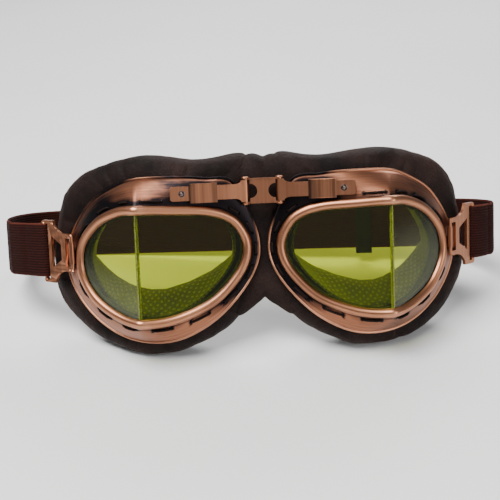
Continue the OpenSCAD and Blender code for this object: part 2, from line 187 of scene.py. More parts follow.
lip_y = lip_depth_at(lip_line[:, 0])
AHEAD_FRONT = np.array([-math.sin(FRONT_YAW), -math.cos(FRONT_YAW)])
AHEAD_SIDE = np.array([math.sin(SIDE_YAW), -math.cos(SIDE_YAW)])
AHEAD_FOLD = (AHEAD_FRONT + AHEAD_SIDE) / (1 + AHEAD_FRONT @ AHEAD_SIDE)


def pane_point(u, z, f):
    """A point on the panes: u from the fold, height z, and f in front of the glass."""
    if u > 0.01:
        along, ahead = (-math.cos(FRONT_YAW), math.sin(FRONT_YAW)), AHEAD_FRONT
    elif u < -0.01:
        along, ahead = (-math.cos(SIDE_YAW), -math.sin(SIDE_YAW)), AHEAD_SIDE
    else:
        along, ahead = (0, 0), AHEAD_FOLD
    q = np.array([FOLD_X, 0.0]) + u * np.array(along) + f * ahead
    return np.array([q[0], q[1], z])


def rim_at(inset, f):
    """All points round the rim, inset from its outline and f in front of the glass."""
    return np.array([pane_point(u, z, f) for u, z in rim_line - inset * rim_normals])


def lip_at(out, back):
    q = lip_line + out * lip_normals
    return np.stack([q[:, 0], lip_y + back, q[:, 1]], axis=1)


def skirt_at(part, back):
    """All points on the skirt, part of the way from the rim to the lip, with a slight crown."""
    a, b = rim_at(0.2, -0.5), lip_at(0, 0)
    part = np.broadcast_to(part, (COUNT,))
    crown = 0.24 * part * (1 - part) * np.linalg.norm(b - a, axis=1)
    p = a + (b - a) * part[:, None]
    p[:, 1] += back - crown
    return p


seat_y = rim_at(SEAT_IN, SEAT - METAL_T)[:, 1] + 0.5


def soft_at(out, back):
    """All points of a pad's ring, out past the lip and back behind it."""
    def towards(angle, power):
        return np.maximum(0, away @ (math.cos(angle), math.sin(angle))) ** power

    def grown(over):
        return min(1, max(0, (back - BULGE_FROM) / over))

    away = unit(lip_line - PAD_CENTRE)
    if out > 0:
        extra = SHOULDER * towards(SHOULDER_AT, SHOULDER_POWER) + BROW * towards(BROW_AT, BROW_POWER)
        extra = (extra + CREST * np.maximum(0, away[:, 1]) ** CREST_POWER) * out / PAD_OUT
        strap = np.exp(-((lip_line[:, 1] + away[:, 1] * out - STRAP_Z) / STRAP_BAND) ** 4)
        extra = (extra + TEMPLE * np.maximum(0, away[:, 0]) * grown(7) * out / PAD_OUT) * (1 - strap)
    else:
        low = np.maximum(0, lip_line[:, 1] / LIP_POINTS[10][1]) ** 0.7 * grown(15)
        extra = PAD_REACH * low * out / PAD_IN
    q = lip_line + (out + extra)[:, None] * away
    clear = np.maximum(0, seat_y - lip_y - 2.0)
    y = lip_y + back + clear * (1 - back / PAD_DEPTH)
    x = np.maximum(q[:, 0], PAD_GAP)
    z = np.maximum(q[:, 1], floor_z(y))
    return np.stack([x, y, z], axis=1)


def floor_z(y):
    return (y * math.sin(LEAN) - OFFSET[2]) / math.cos(LEAN)


# ---- meshes and objects
def write(mesh, name, values):
    """Stores a number or a vector at each point of a mesh."""
    values = np.asarray(values, np.float32).ravel()
    vectors = len(values) == 3 * len(mesh.vertices)
    attribute = mesh.attributes.new(name, "FLOAT_VECTOR" if vectors else "FLOAT", "POINT")
    attribute.data.foreach_set("vector" if vectors else "value", values)


def new_mesh(name, points, faces, side=1, **attributes):
    mesh = bpy.data.meshes.new(name)
    mesh.from_pydata([tuple(v) for v in stand(points, side)], [], faces)
    for key, values in attributes.items():
        write(mesh, key, values)
    tidy(mesh)
    return mesh


def tidy(mesh, weld=False):
    bm = bmesh.new()
    bm.from_mesh(mesh)
    if weld:
        bmesh.ops.remove_doubles(bm, verts=bm.verts, dist=1e-7)
    bmesh.ops.recalc_face_normals(bm, faces=bm.faces)
    bm.to_mesh(mesh)
    bm.free()


def assign(thing, **settings):
    """Sets several properties at once, and returns the thing that has them."""
    for key, value in settings.items():
        setattr(thing, key, value)
    return thing


def add(name, mesh, materials, smooth=None):
    """A new object; smooth is the angle in degrees over which its edges stay sharp, or None for flat."""
    obj = bpy.data.objects.new(name, mesh)
    bpy.context.scene.collection.objects.link(obj)
    mesh.materials.clear()
    for m in materials:
        mesh.materials.append(m)
    if smooth is not None:
        mesh.shade_smooth()
        mesh.set_sharp_from_angle(angle=math.radians(smooth))
    return obj


def finished(obj, body, slot, *nodes):
    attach(obj, body)
    if nodes:
        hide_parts(*nodes)


def grid_faces(n, m, closed=True, turned=1):
    """Faces over n loops of m points; where the loops don't close, cap number turned is listed backwards."""
    faces = []
    for i in range(n if closed else n - 1):
        for j in range(m):
            k, up = (j + 1) % m, (i + 1) % n
            faces.append((i * m + j, i * m + k, up * m + k, up * m + j))
    if not closed:
        caps = [tuple(range(m)), tuple(range((n - 1) * m, n * m))]
        caps[turned] = caps[turned][::-1]
        faces += caps
    return faces


def ring(name, columns, side, material, smooth, **attributes):
    """A solid object whose columns of points run round a closed loop."""
    grid = np.stack(columns, axis=1)
    step = np.linalg.norm(np.roll(grid[:, 0], -1, axis=0) - grid[:, 0], axis=1)
    radius = step.sum() / math.tau
    angle = np.concatenate([[0], np.cumsum(step)[:-1]]) / radius
    across = np.cumsum(np.linalg.norm(np.diff(grid, axis=1), axis=2), axis=1)
    flow = np.zeros(grid.shape)
    flow[..., 0] = (radius * np.cos(angle))[:, None]
    flow[..., 1] = (radius * np.sin(angle))[:, None]
    flow[..., 2] = np.concatenate([[0], across.mean(axis=0)])
    faces = grid_faces(*grid.shape[:2])
    mesh = new_mesh(name, grid.reshape(-1, 3), faces, side, flow=flow, **attributes)
    return add(name, mesh, [material], smooth)


def evaluated(obj):
    """The object's mesh with its modifiers applied, as a new mesh."""
    depsgraph = bpy.context.evaluated_depsgraph_get()
    return bpy.data.meshes.new_from_object(obj.evaluated_get(depsgraph))


def modify(obj, kind, **settings):
    """Adds a modifier to an object and applies it."""
    assign(obj.modifiers.new(kind.lower(), kind), **settings)
    mesh = evaluated(obj)
    obj.modifiers.clear()
    obj.data = mesh


def coordinates(mesh):
    return vectors_of(mesh.vertices, "co")


def vectors_of(items, field):
    out = np.zeros(len(items) * 3)
    items.foreach_get(field, out)
    return out.reshape(-1, 3)


def set_coordinates(mesh, co):
    mesh.vertices.foreach_set("co", co.astype(np.float32).ravel())
    mesh.update()


def add_flow(mesh):
    """Flow coordinates of a flat part: its worn millimetres, with coarse brushing up and down."""
    write(mesh, "flow", 0.4 * worn(coordinates(mesh))[:, ::-1])


def bevelled(name, node, width, materials, segments=3, sharp=32, shade=0.0, axis=2):
    """A copy of a CAD node's shape with its edges rounded; the rounded edges take the second material.

    shade is how much painted shade darkens the copper towards both ends of the axis.
    """
    mesh = frame["nodes"][node].data.copy()
    bm = bmesh.new()
    bm.from_mesh(mesh)
    for layer in list(bm.loops.layers.uv):
        bm.loops.layers.uv.remove(layer)
    bmesh.ops.remove_doubles(bm, verts=bm.verts, dist=1e-6)
    bmesh.ops.dissolve_limit(bm, angle_limit=math.radians(0.8), verts=bm.verts, edges=bm.edges)
    for face in bm.faces:
        face.material_index = 0
    if shade:
        rows = np.array([v.co[axis] for v in bm.verts])
        low, high = rows.min(), rows.max()
        way = np.eye(3)[axis]
        for share in (0.14, 0.3, 0.45, 0.6, 0.75, 0.88):
            bmesh.ops.bisect_plane(bm, geom=bm.verts[:] + bm.edges[:] + bm.faces[:], dist=1e-7,
                                   plane_co=way * (low + share * (high - low)), plane_no=way)
    edges = [e for e in bm.edges if e.is_manifold and e.calc_face_angle(0) > math.radians(sharp)]
    bmesh.ops.bevel(bm, geom=edges, offset=width / 1000, offset_type="OFFSET", segments=segments,
                    profile=0.6, affect="EDGES", clamp_overlap=True, material=1)
    bm.to_mesh(mesh)
    bm.free()
    add_flow(mesh)
    if shade:
        rows = coordinates(mesh)[:, axis]
        share = (rows - rows.min()) / (rows.max() - rows.min())
        # Painted shade: darker towards both ends of the axis.
        write(mesh, "patina", shade * np.abs(2 * share - 1.1) ** 1.6)
    obj = add(name, mesh, materials, smooth=45)
    assign(obj.modifiers.new("even_normals", "WEIGHTED_NORMAL"), keep_sharp=True)
    return obj


def tube_shape(path, radius, sides=10, twist=0.0, pitch=1.2):
    """Points, faces and flow of a round thread along a path, in worn millimetres."""
    path = np.asarray(path, float)
    tangent = unit(np.gradient(path, axis=0))
    along = lengths(path)
    up = np.array([0.0, 0.0, 1.0]) if abs(tangent[0][2]) < 0.9 else np.array([1.0, 0.0, 0.0])
    points, flow = [], []
    for i in range(len(path)):
        across = unit(np.cross(tangent[i], up))
        up = unit(np.cross(across, tangent[i]))
        for k in range(sides):
            a = math.tau * k / sides
            r = radius * (1 + twist * math.cos(2 * a - math.tau * along[i] / pitch))
            points.append(path[i] + r * (math.cos(a) * across + math.sin(a) * up))
            flow.append((along[i], a * radius, 0))
    return points, grid_faces(len(path), sides, closed=False, turned=0), flow


def joined(shapes):
    """Several (points, faces, flow) as one."""
    points, faces, flow = [], [], []
    for p, f, w in shapes:
        base = len(points)
        points += list(p)
        flow += list(w)
        faces += [tuple(base + v for v in face) for face in f]
    return points, faces, flow


def lathe(name, profile, centre, side, sides=40, axes=np.eye(3)):
    """A turned part: (radius, height) pairs spun round the last of three axes at centre."""
    across, up, out = axes
    points, faces = [], []
    m = len(profile)
    for i in range(sides):
        a = math.tau * i / sides
        for r, h in profile:
            points.append(centre + r * (math.cos(a) * across + math.sin(a) * up) + h * out)
    for i in range(sides):
        for j in range(m - 1):
            k = (i + 1) % sides
            faces.append((i * m + j, k * m + j, k * m + j + 1, i * m + j + 1))
    mesh = new_mesh(name, points, faces, side)
    tidy(mesh, weld=True)
    return mesh


# ---- materials
class Graph:
    """A material's node tree with short ways to add and link nodes."""

    def __init__(self, name):
        self.material = bpy.data.materials.new(name)
        self.material.use_nodes = True
        self.tree = self.material.node_tree
        self.shader = self.tree.nodes["Principled BSDF"]

    def node(self, kind, inputs=None, **settings):
        made = assign(self.tree.nodes.new("ShaderNode" + kind), **settings)
        for key, value in (inputs or {}).items():
            self.feed(made.inputs[key], value)
        return made

    def feed(self, socket, value):
        if isinstance(value, bpy.types.NodeSocket):
            self.tree.links.new(value, socket)
        elif isinstance(value, bpy.types.Node):
            self.tree.links.new(value.outputs[0], socket)
        else:
            socket.default_value = value

    def set(self, **inputs):
        for key, value in inputs.items():
            self.feed(self.shader.inputs[key.replace("_", " ")], value)

    def attribute(self, name, output="Fac"):
        return self.node("Attribute", attribute_name=name).outputs[output]

    def scaled(self, vector, scale):
        return self.node("VectorMath", {0: vector, 1: scale}, operation="MULTIPLY")

    def flow(self, scale):
        return self.scaled(self.attribute("flow", "Vector"), scale)

    def flow_parts(self):
        return self.node("SeparateXYZ", {0: self.attribute("flow", "Vector")}).outputs

    def place(self, scale):
        size = tuple(1000 * s for s in (scale if hasattr(scale, "__len__") else (scale,) * 3))
        return self.scaled(self.node("TexCoord").outputs["Object"], size)

    def noise(self, vector, scale=1.0, detail=3.0, rough=0.5):
        return self.node("TexNoise", {"Vector": vector, "Scale": scale, "Detail": detail,
                                                "Roughness": rough}).outputs[0]

    def math(self, operation, a, b=0.0):
        return self.node("Math", {0: a, 1: b}, operation=operation).outputs[0]

    def plus(self, a, b):
        return self.math("ADD", a, b)

    def times(self, a, b):
        return self.math("MULTIPLY", a, b)

    def span(self, value, low=0.3, high=0.7, to_low=0.0, to_high=1.0):
        return self.node("MapRange", {"Value": value, "From Min": low, "From Max": high,
                                                "To Min": to_low, "To Max": to_high}).outputs[0]

    def mix(self, factor, a, b):
        return self.node("Mix", {"Factor": factor, 6: a, 7: b}, data_type="RGBA").outputs[2]

    def bump(self, height, distance, strength):
        return self.node("Bump", {"Height": height, "Distance": distance / 1000,
                                            "Strength": strength}).outputs[0]


def colour(r, g, b):
    """A colour from 0-255 display values."""
    def linear(v):
        v /= 255
        return v / 12.92 if v <= 0.04045 else ((v + 0.055) / 1.055) ** 2.4
    return (linear(r), linear(g), linear(b), 1.0)


AGED_TONES = colour(160, 106, 80), colour(116, 75, 56)
BRIGHT_TONES = colour(184, 126, 93), colour(128, 84, 62)
SATIN_TONES = colour(172, 117, 87), colour(148, 98, 73)
# Dark colour of patina, also used for painted shade.
PATINA_AND_SHADE = colour(30, 26, 28)
RUBBED = colour(226, 164, 130)


def copper(name, age, tones, rough=0.3):
    """Brushed antique copper; age is how much of it the dark oxide covers where nothing rubs it."""
    g = Graph(name)
    brush = g.noise(g.flow((0.08, 0.08, 8.0)), 1.0, 2.0, 0.6)
    streak = g.noise(g.flow((0.03, 0.03, 1.9)), 1.0, 2.0, 0.5)
    patch = g.noise(g.flow((0.05, 0.05, 0.13)), 1.0, 3.0, 0.55)
    rubbed = g.attribute("wear")
    dark = g.span(patch, 0.36, 0.7, -0.14 - 0.2 * age, 0.1 + 1.1 * age)
    # This attribute darkens the copper with patina, and with painted shade at the plates' ends and on the
    # eyecups under the bridge bar and on the nose side.
    dark = g.plus(g.attribute("patina"), dark)
    dark = g.plus(dark, g.span(streak, 0.3, 0.7, -0.14, 0.14))
    dark = g.math("SUBTRACT", dark, rubbed)
    dark = g.span(dark, 0.12, 1.05)
    tone = g.mix(g.span(streak, 0.25, 0.75, 0.05, 0.9), *tones)
    tone = g.mix(g.times(rubbed, 0.7), tone, RUBBED)
    g.set(Base_Color=g.mix(dark, tone, PATINA_AND_SHADE), Metallic=1.0)
    grain = g.span(brush, 0.3, 0.7, rough, rough + 0.1)
    g.set(Roughness=g.plus(grain, g.times(dark, 0.05)))
    g.set(Normal=g.bump(brush, 0.02, 0.3))
    return g.material


def speckled(name, scale, tones, rough=None, detail=3.0, grit=0.5, spread=(0.3, 0.7), bump=None, **inputs):
    """A material of two mottled tones; scale is how fine, rough its range of roughness, bump its relief."""
    g = Graph(name)
    speck = g.noise(g.place(scale), 1.0, detail, grit)
    g.set(Base_Color=g.mix(g.span(speck, *spread), colour(*tones[0]), colour(*tones[1])), **inputs)
    if rough:
        g.set(Roughness=g.span(speck, 0.3, 0.7, *rough))
    if bump:
        g.set(Normal=g.bump(speck, *bump))
    return g.material


LENS_TINT = (0.50, 0.57, 0.03, 1.0)


def lens_glass():
    """Yellow-green tinted pane. Lamps shine through it, tinted."""
    g = Graph("lens_tint")
    smear = g.noise(g.place((0.03, 0.03, 0.09)), 1.0, 4.0, 0.6)
    g.set(Base_Color=LENS_TINT, Roughness=g.span(smear, 0.45, 0.8, 0.015, 0.06))
    g.set(Transmission_Weight=1.0, IOR=1.5)
    see = g.node("BsdfTransparent", {"Color": LENS_TINT})
    ray = g.node("LightPath")
    mixed = g.node("MixShader", {0: ray.outputs["Is Shadow Ray"], 1: g.shader.outputs[0], 2: see})
    g.feed(g.tree.nodes["Material Output"].inputs["Surface"], mixed)
    return g.material


def leather():
    g = Graph("pad_leather")
    at = g.place(1.0)
    cells = g.node("TexVoronoi", {"Vector": at, "Scale": 1.25}, feature="F1").outputs["Distance"]
    creases = g.node("TexVoronoi", {"Vector": at, "Scale": 0.55}, feature="DISTANCE_TO_EDGE")
    crease = g.span(creases.outputs["Distance"], 0.0, 0.12, 0.0, 1.0)
    fine = g.noise(at, 2.6, 4.0, 0.6)
    broad = g.noise(at, 0.045, 3.0, 0.55)
    tone = g.mix(g.span(broad, 0.35, 0.68), colour(18, 12, 11), colour(50, 36, 32))
    tone = g.mix(g.span(fine, 0.35, 0.65, 0.0, 0.75), tone, colour(9, 6, 5))
    g.set(Base_Color=tone, Specular_IOR_Level=0.08, Sheen_Weight=0.12, Sheen_Roughness=0.3)
    g.set(Sheen_Tint=colour(222, 176, 160))
    g.set(Roughness=g.plus(g.span(fine, 0.3, 0.7, 0.54, 0.7), g.span(broad, 0.3, 0.7, -0.04, 0.06)))
    height = g.plus(g.times(cells, 0.5), g.times(fine, 0.45))
    height = g.plus(height, g.times(crease, 0.28))
    g.set(Normal=g.bump(height, 0.26, 0.9))
    return g.material


# Dots in the lining: how many round it, and their spacing across it in millimetres
DOTS_ROUND = 46
DOT_PITCH = 3.6


def lining_cloth():
    g = Graph("lining_mesh")
    parts = g.flow_parts()
    round_way = g.times(g.math("ARCTAN2", parts[1], parts[0]), DOTS_ROUND)
    across = g.times(parts[2], math.tau / DOT_PITCH)
    hole = g.times(g.math("COSINE", round_way), g.math("COSINE", across))
    hole = g.span(hole, 0.8, 0.3)
    pile = g.noise(g.place(1.6), 1.0, 4.0, 0.65)
    tone = g.mix(hole, colour(124, 121, 112), colour(62, 59, 55))
    g.set(Base_Color=g.mix(g.span(pile, 0.3, 0.7, 0.0, 0.45), tone, colour(40, 37, 34)))
    g.set(Roughness=g.span(pile, 0.3, 0.7, 0.75, 0.95), Sheen_Weight=0.4)
    height = g.plus(g.times(hole, -0.8), pile)
    g.set(Normal=g.bump(height, 0.25, 0.7))
    return g.material


RIB_PITCH = 1.3
PICK_PITCH = 1.05


def elastic():
    """Ribbed elastic webbing: ribs run along the strap and the weft crosses them."""
    g = Graph("strap_elastic")
    along, across = g.flow_parts()[:2]
    rib = g.math("COSINE", g.times(across, math.tau / RIB_PITCH))
    odd = g.math("FLOOR", g.math("DIVIDE", across, RIB_PITCH))
    phase = g.plus(g.times(along, math.tau / PICK_PITCH), g.times(odd, math.pi))
    pick = g.math("SINE", phase)
    fuzz = g.noise(g.place(2.4), 1.0, 4.0, 0.7)
    wear = g.noise(g.place(0.05), 1.0, 3.0, 0.55)
    weave = g.plus(g.times(rib, 0.5), g.times(pick, 0.35))
    tone = g.mix(g.span(weave, -0.7, 0.8), colour(13, 4, 3), colour(56, 20, 14))
    tone = g.mix(g.span(wear, 0.35, 0.7, 0.0, 0.55), tone, colour(30, 11, 8))
    tone = g.mix(g.attribute("wear"), tone, colour(92, 42, 30))
    g.set(Base_Color=g.mix(g.span(fuzz, 0.3, 0.7, 0.0, 0.3), tone, colour(17, 6, 5)))
    g.set(Roughness=g.span(fuzz, 0.3, 0.7, 0.75, 0.92), Specular_IOR_Level=0.09)
    height = g.plus(g.times(weave, 0.6), g.times(fuzz, 0.35))
    g.set(Normal=g.bump(height, 0.2, 0.7))
    return g.material


aged = copper("copper_aged", 0.35, AGED_TONES, rough=0.3)
bright = copper("copper_bright", 0.0, BRIGHT_TONES, rough=0.31)
satin = copper("copper_satin", 0.0, SATIN_TONES, rough=0.31)
# Painted highlight: a lighter copper on the plates' rounded edges, for bright lines along them.
edge = speckled("copper_edge_highlight", 0.6, ((236, 178, 146), (190, 130, 100)), (0.22, 0.36), Metallic=1.0)
rivet = speckled("rivet_metal", 1.2, ((70, 62, 62), (120, 104, 98)), (0.2, 0.35), spread=(0.35, 0.65),
                 Metallic=1.0)
glass = lens_glass()
bead = speckled("lens_glue", 0.9, ((160, 162, 78), (112, 114, 48)), (0.18, 0.4), 4.0, 0.6, (0.35, 0.65),
                (0.15, 0.5), Transmission_Weight=0.45, IOR=1.45)
black = speckled("gasket_rubber", 1.5, ((14, 14, 14), (34, 33, 32)), (0.45, 0.65), bump=(0.08, 0.5))
hide = leather()
cotton = speckled("stitch_thread", 2.2, ((11, 7, 6), (30, 19, 15)), (0.65, 0.85), 4.0, 0.7, bump=(0.1, 0.6),
                  Specular_IOR_Level=0.1)
mesh_cloth = lining_cloth()
webbing = elastic()
dark_paint = speckled("slider_lacquer", 0.25, ((12, 10, 10), (60, 50, 46)), (0.45, 0.6), 5.0, 0.65,
                      (0.62, 0.7), Specular_IOR_Level=0.2)
pale_board = speckled("floor_board", 0.004, ((226, 226, 225), (231, 231, 230)), detail=2.0, Roughness=0.55)


# ---- eyecups, rims and lenses
def angle_share(centre, width):
    """1 near the outline point numbered centre, falling to 0 over width points either side."""
    i = np.arange(COUNT) / STEPS
    away = np.abs((i - centre + 8.5) % 17 - 8.5)
    t = np.clip(1.8 * (1 - away / width), 0, 1)
    return t * t * (3 - 2 * t)


SKIRT_PARTS = [0.04, 0.1, 0.18, 0.27, 0.36, 0.46, 0.56, 0.66, 0.76, 0.85, 0.93]
# Rolled edge of the lip: out from its outline, and back
BEAD = [(-0.5, -0.06), (-0.2, -0.2), (0.1, -0.3), (0.38, -0.26), (0.58, -0.08), (0.66, 0.2), (0.58, 0.5),
    (0.35, 0.74), (0.0, 0.84), (-0.5, 0.88)]


def eyecup(name, side):
    columns = [rim_at(SEAT_IN, SEAT), rim_at(1.4, SEAT), rim_at(1.4, -0.5), rim_at(0.2, -0.5)]
    first = len(columns)
    lip_first = first + len(SKIRT_PARTS)
    # Patina and painted shade: over paints shade on the skirt and lip under the bridge bar; nose adds painted
    # shade on the nose side between the cups, and patina at the outer top; outer is patina at the top outer
    # side, most on the left cup.
    over = angle_share(2.5, 2.9) if side < 0 else angle_share(2.9, 2.0)
    nose = over * 0.95 + angle_share(5.8, 2.7) * 0.85 + angle_share(14.9, 1.2) * (0.55 if side < 0 else 0.2)
    outer = angle_share(15.7, 1.7) * (0.9 if side < 0 else 0.15)
    columns += [skirt_at(t, 0) for t in SKIRT_PARTS] + [lip_at(*p) for p in BEAD]
    columns += [skirt_at(t, METAL_T + 0.1) for t in reversed(SKIRT_PARTS)]
    columns += [rim_at(0.4, -1.5), rim_at(0.5, SEAT - METAL_T), rim_at(SEAT_IN, SEAT - METAL_T)]
    patina = np.full((COUNT, len(columns)), 0.9)
    wear = np.zeros((COUNT, len(columns)))
    for j, t in enumerate(SKIRT_PARTS):
        dark = 0.85 * max(0, 1 - t / 0.3) + nose * (1.45 - 0.35 * t) + outer * max(0, 1.3 - 1.5 * t)
        patina[:, first + j] = np.clip(dark, 0, 1.6)
    for j in range(len(BEAD)):
        patina[:, lip_first + j] = 0.9 * over + 0.8 * outer + 0.3
        wear[:, lip_first + j] = 0.45 * (1 - over) * (1 - outer)
    wear[:, lip_first - 1] = 0.25 * (1 - over)
    patina[:, lip_first - 1] *= 0.6
    obj = ring(name, columns, side, aged, 50, patina=patina, wear=wear)
    drill(obj, side)
    return obj


STITCHED = [0] + list(range(3, 17))
STITCH_IN = 2.1
stitch_part = STITCH_IN / np.linalg.norm(lip_at(0, 0) - rim_at(0.2, -0.5), axis=1)
HOLE_R = 0.75
THREAD_R = 0.54


def stitch_ends(k):
    return k * STEPS + STEPS // 6, k * STEPS + 4 * STEPS // 6


stitch_line, stitch_outer, stitch_inner = (skirt_at(stitch_part + step, 0) for step in (0, 0.1, -0.1))


def skirt_frame(i):
    """Point, and unit vectors along, across and out of the skirt, at the stitches."""
    across = unit(stitch_outer[i] - stitch_inner[i])
    along = unit(stitch_line[(i + 1) % COUNT] - stitch_line[i - 1])
    out = unit(np.cross(along, across))
    if out[1] > 0:
        out = -out
    return stitch_line[i], along, across, out


def drill(obj, side):
    """Cuts the stitch holes through the skirt."""
    frames = [skirt_frame(i) for k in STITCHED for i in stitch_ends(k)]
    points, faces, _ = joined([tube_shape([p + out * h for h in (2.4, 0.8, -0.8, -2.4)], HOLE_R, sides=14)
                               for p, _, _, out in frames])
    cutter = add("stitch_cutter", new_mesh("stitch_cutter", points, faces, side), [])
    modify(obj, "BOOLEAN", object=cutter, solver="EXACT")
    bpy.data.objects.remove(cutter)
    centres = np.array([stand(p, side) for p, _, _, _ in frames])
    co = coordinates(obj.data)
    near = np.linalg.norm(co[:, None] - centres[None], axis=2).min(axis=1) < 0.0013
    for key, value in (("patina", 1.3), ("wear", 0.0)):
        attribute = obj.data.attributes[key]
        kept = np.zeros(len(co), np.float32)
        attribute.data.foreach_get("value", kept)
        attribute.data.foreach_set("value", np.where(near, value, kept).astype(np.float32))
    obj.data.shade_smooth()
    obj.data.set_sharp_from_angle(angle=math.radians(50))


def thread(name, shapes, side):
    points, faces, flow = joined(shapes)
    return add(name, new_mesh(name, points, faces, side, flow=flow), [cotton], smooth=60)


def stitching(name, side):
    """Stitches round the skirt, each diving into the holes at its ends."""
    shapes = []
    for k in STITCHED:
        first, last = stitch_ends(k)
        p, along, _, out = skirt_frame(first)
        path = [p - out * 1.3 + along * 0.1, p - out * 0.3 + along * 0.2]
        for i in range(first + 1, last):
            p, _, across, out = skirt_frame(i)
            t = (i - first) / (last - first)
            lift = THREAD_R * (0.75 + 0.35 * math.sin(math.pi * t))
            path.append(p + out * lift + across * 0.15 * noise((k * 3.1, t * 2.0, side * 4.0)))
        p, along, _, out = skirt_frame(last)
        path += [p - out * 0.3 - along * 0.2, p - out * 1.3 - along * 0.1]
        shapes.append(tube_shape(smoothed(path, 4), THREAD_R, twist=0.13))
    return thread(name, shapes, side)


def rim(name, side):
    """The rim's crowned bezel, from its outer foot over the crown to its inner edge and back underneath."""
    section = [(0, -0.4), (-0.02, 0.1), (0.05, 0.55), (0.3, 1.0), (0.75, 1.5), (1.3, 1.86), (2.0, 2.08),
               (2.6, RIM_H), (3.2, 1.95), (3.75, 1.6), (4.15, 1.15), (4.45, 0.65), (RIM_W, 0.25),
               (RIM_W - 0.12, 0.1), (1.3, 0.1), (1.3, -0.4)]
    columns = [rim_at(*p) for p in section]
    patina = np.zeros((COUNT, len(section)))
    wear = np.zeros((COUNT, len(section)))
    smudge = angle_share(7.4, 1.4) * 0.45 + angle_share(3.6, 1.3) * 0.2 + angle_share(14.5, 1.5) * 0.15
    for j, (inset, f) in enumerate(section):
        edge_in = max(0, (inset - 3.6) / 1.0) if f > 0.2 else 0
        edge_out = max(0, 1 - inset / 0.35)
        patina[:, j] = 0.7 * edge_out + 0.35 * edge_in + smudge + 0.1
        wear[:, j] = 0.12 if 1.0 < inset < 3.4 and f > 1.4 else 0
    wear += 0.25 * (angle_share(0, 0.35) + angle_share(10, 0.35))[:, None]
    return ring(name, columns, side, bright, 48, patina=patina, wear=wear)


def gasket(name, side):
    """Black bead behind the panes, with a slightly ragged inner edge."""
    ragged = np.array([0.45 * noise((math.cos(a) * 9, math.sin(a) * 9, side * 2.0)) +
                       0.3 * noise((math.cos(a) * 30, math.sin(a) * 30, 5.0))
                       for a in np.arange(COUNT) * math.tau / COUNT])
    columns = []
    for inset, f, loose in ((1.6, -1.2, 0), (1.6, -0.12, 0), (3.6, -0.12, 0), (4.9, -0.15, 0.6),
                            (5.3, -0.5, 1), (5.2, -1.0, 0.8), (4.4, -1.35, 0.3), (3.0, -1.3, 0)):
        base = rim_at(inset, -PANE_T + f)
        more = rim_at(inset + 1, -PANE_T + f) - base
        columns.append(base + more * (ragged * loose)[:, None])
    return ring(name, columns, side, black, 60)


SEAM_HALF = 27.2
SEAM_STEPS = 90


def seam_bead(name, side):
    """The glued seam where the two panes meet, front and back, a little uneven."""
    shapes = []
    for f, w in ((0.1, 0.17), (-PANE_T - 0.12, 0.22)):
        points = []
        for i in range(SEAM_STEPS + 1):
            z = -SEAM_HALF + 2 * SEAM_HALF * i / SEAM_STEPS
            swell = 1 + 0.5 * noise((z * 0.35, side * 7.0, f)) + 0.35 * max(0, noise((z * 1.3, 2.0, f)))
            wide = w * swell
            lift = math.copysign(0.12 * swell, f)
            for u, up in ((wide, -0.02), (wide * 0.5, 0.7), (0, 1.0), (-wide * 0.5, 0.7), (-wide, -0.02)):
                points.append(pane_point(u, z, f + lift * up - math.copysign(0.1, f)))
            points.append(pane_point(0, z, f - math.copysign(0.3, f)))
        shapes.append((points, grid_faces(SEAM_STEPS + 1, 6, closed=False), []))
    points, faces, _ = joined(shapes)
    return add(name, new_mesh(name, points, faces, side), [bead], smooth=70)


def plate(name, node, body, width, materials, slot="copper_bright", **settings):
    """A CAD node's shape with rounded edges, in place of that node."""
    finished(bevelled(name, node, width, materials, **settings), body, slot, node)


for word, side in SIDES:
    cup_body = word + "_cup"
    for make, piece, slot, node in ((eyecup, "_eyecup_shell", "copper_aged", "_eyecup"),
                                    (rim, "_rim_bezel", "copper_bright", "_lens_rim"),
                                    (stitching, "_skirt_stitches", "thread", "_stitching"),
                                    (gasket, "_gasket_bead", "gasket", "_gasket")):
        finished(make(word + piece, side), cup_body, slot, word + node)
    finished(seam_bead(word + "_lens_seam", side), cup_body, "lens")
    for pane in ("front", "side"):
        plate(f"{word}_{pane}_glass", f"{word}_{pane}_pane", cup_body, 0.12, [glass, glass], "lens",
              segments=2)


# ---- bridge, hinges and buckles
def dome(r, h, z, up):
    return [(r * math.cos(a), z + up * h * math.sin(a)) for a in np.linspace(0, math.pi / 2, 7)]


def hinge_pin(name, side):
    """A pin with a domed head at each end."""
    half = 10.2 / 2 + 0.1 + 0.7
    top = [(1.9, half), (1.95, half + 0.2)] + dome(1.9, 0.65, half + 0.25, 1)
    bottom = [(r, -z) for r, z in top]
    mesh = lathe(name, bottom[::-1] + [(0.8, -half), (0.8, half)] + top, PIN, side)
    add_flow(mesh)
    return add(name, mesh, [bright], smooth=55)


def bar_rivet(name, side):
    """A domed rivet head in a dark ring, and its tail behind the bar."""
    along = np.array([math.cos(BAR_YAW), -math.sin(BAR_YAW), 0])
    out = np.array([-math.sin(BAR_YAW), -math.cos(BAR_YAW), 0])
    profile = [(0.0, -1.7), (1.05, -1.7), (1.1, -1.25), (0.68, -1.2), (0.68, 0.0), (1.5, 0.0), (1.5, 0.12),
               (1.3, 0.2), (1.05, 0.1), (0.98, 0.12), (0.95, 0.4), (0.8, 0.65), (0.5, 0.82), (0.0, 0.88)]
    mesh = lathe(name, profile, PIN + 30.2 * along + 1.5 * out, side, 32, (along, np.array([0, 0, 1.0]), out))
    return add(name, mesh, [rivet], smooth=50)


